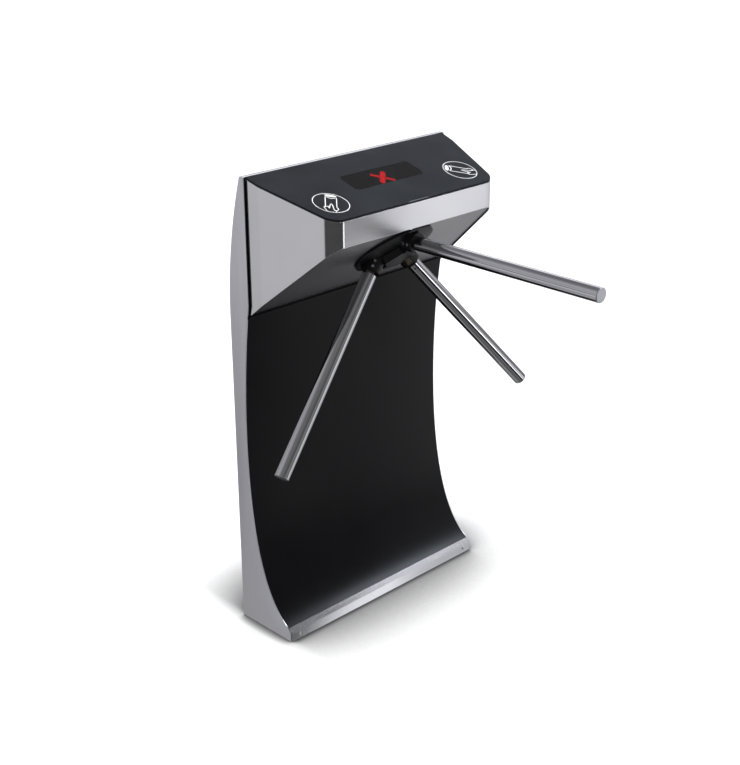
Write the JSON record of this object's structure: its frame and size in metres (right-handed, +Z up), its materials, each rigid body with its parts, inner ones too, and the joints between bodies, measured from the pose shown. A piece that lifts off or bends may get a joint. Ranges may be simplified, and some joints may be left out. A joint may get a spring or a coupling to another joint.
{
  "type": "tripod turnstile",
  "caption": "Slim floor-standing tripod turnstile with a curved column, sloped reader head and three angled arms on a turning hub.",
  "frame": {"origin": "on the floor, at the centre of the four anchor holes in the base plate", "axes": "+X to the right as seen by a visitor facing the front, +Y to the flat back, +Z up"},
  "size_m": [0.7434, 0.7119, 1],
  "materials": {
    "brushed_stainless": "vertical fine brushed stainless sheet",
    "polished_stainless": "bright polished stainless tube",
    "black_panel": "satin black powder coat",
    "black_cover": "satin black back-printed acrylic",
    "smoked_window": "smoked acrylic",
    "black_cast": "black coated cast aluminium",
    "plain_steel": "zinc-grey steel plate",
    "bright_steel": "turned and ground steel",
    "root_bronze": "machined bronze",
    "gear_brass": "yellow passivated steel",
    "circuit_board": "green solder mask",
    "dark_plastic": "moulded black plastic",
    "grommet_rubber": "black rubber"
  },
  "bodies": {
    "pedestal": {"left_side_plate": "brushed_stainless", "right_side_plate": "brushed_stainless", "back_cover": "brushed_stainless", "front_panel": "black_panel", "base_plate": "plain_steel", "cable_grommet": "grommet_rubber", "left_rib": "plain_steel", "right_rib": "plain_steel", "foot_trim": "brushed_stainless", "foot_trim_screws": "brushed_stainless", "top_strip": "brushed_stainless", "head_mount_plate": "black_panel", "head_shell": "brushed_stainless", "underside_plate": "brushed_stainless", "top_cover": "black_cover", "display_window": "smoked_window", "display_board": "circuit_board", "left_card_reader": "dark_plastic", "right_card_reader": "dark_plastic", "controller_board": "circuit_board", "power_supply": "plain_steel", "left_bracket": "plain_steel", "right_bracket": "plain_steel", "bracket_bolts": "bright_steel", "front_bearing_plate": "plain_steel", "rear_bearing_plate": "plain_steel", "frame_spacers": "bright_steel", "frame_bolts": "bright_steel", "front_bearing_outer": "bright_steel", "rear_bearing_outer": "bright_steel", "pawl_pins": "bright_steel", "lever_pin": "bright_steel", "left_solenoid": "gear_brass", "right_solenoid": "gear_brass", "rotary_damper": "dark_plastic", "sensor_board": "circuit_board"},
    "tripod": {"hub": "black_cast", "hub_screws": "bright_steel", "arm_a_tube": "polished_stainless", "arm_b_tube": "polished_stainless", "arm_c_tube": "polished_stainless", "arm_a_root": "root_bronze", "arm_b_root": "root_bronze", "arm_c_root": "root_bronze", "arm_end_caps": "bright_steel", "main_shaft": "bright_steel", "bearing_inner_rings": "bright_steel", "shaft_spacers": "bright_steel", "lock_disc": "bright_steel", "index_cam": "bright_steel", "encoder_disc": "bright_steel", "shaft_gear": "gear_brass", "shaft_nut": "bright_steel"},
    "damper": {"damper_pinion": "bright_steel"},
    "index_lever": {"index_lever": "gear_brass"},
    "index_roller": {"index_roller": "bright_steel"},
    "left_pawl": {"left_pawl": "gear_brass"},
    "right_pawl": {"right_pawl": "gear_brass"},
    "left_plunger": {"left_plunger": "bright_steel"},
    "right_plunger": {"right_plunger": "bright_steel"}
  },
  "joints": [
    {"name": "tripod_spin", "type": "hinge", "parent": "pedestal", "child": "tripod", "pos_m": [0, -0.08537, 0.84787], "axis": [0, -0.6468, -0.7627], "continuous": true},
    {"name": "damper_spin", "type": "hinge", "parent": "pedestal", "child": "damper", "pos_m": [0.06, -0.03492, 0.90736], "axis": [0, -0.6468, -0.7627], "continuous": true},
    {"name": "index_lever_pivot", "type": "hinge", "parent": "pedestal", "child": "index_lever", "pos_m": [-0.072, -0.10263, 0.91626], "axis": [0, -0.6468, -0.7627], "range_deg": [0, 8], "stiffness_Nm_per_rad": 2, "springref_deg": -5.73},
    {"name": "index_roller_spin", "type": "hinge", "parent": "index_lever", "child": "index_roller", "pos_m": [0, -0.10845, 0.9094], "axis": [0, -0.6468, -0.7627], "continuous": true},
    {"name": "left_pawl_pivot", "type": "hinge", "parent": "pedestal", "child": "left_pawl", "pos_m": [-0.06991, -0.06001, 0.84734], "axis": [0, 0.6468, 0.7627], "range_deg": [0, 5]},
    {"name": "right_pawl_pivot", "type": "hinge", "parent": "pedestal", "child": "right_pawl", "pos_m": [0.06991, -0.06001, 0.84734], "axis": [0, -0.6468, -0.7627], "range_deg": [0, 5]},
    {"name": "left_plunger_slide", "type": "slide", "parent": "pedestal", "child": "left_plunger", "axis": [0, -0.7627, 0.6468], "range_m": [0, 0.0033], "stiffness_N_per_m": 300, "springref_m": -0.004},
    {"name": "right_plunger_slide", "type": "slide", "parent": "pedestal", "child": "right_plunger", "axis": [0, -0.7627, 0.6468], "range_m": [0, 0.0033], "stiffness_N_per_m": 300, "springref_m": -0.004}
  ],
  "couplings": [
    {"joint": "damper_spin", "follows": "tripod_spin", "ratio": -2},
    {"joint": "left_pawl_pivot", "follows": "left_plunger_slide", "rad_per_m": 26.316},
    {"joint": "right_pawl_pivot", "follows": "right_plunger_slide", "rad_per_m": 26.316}
  ]
}
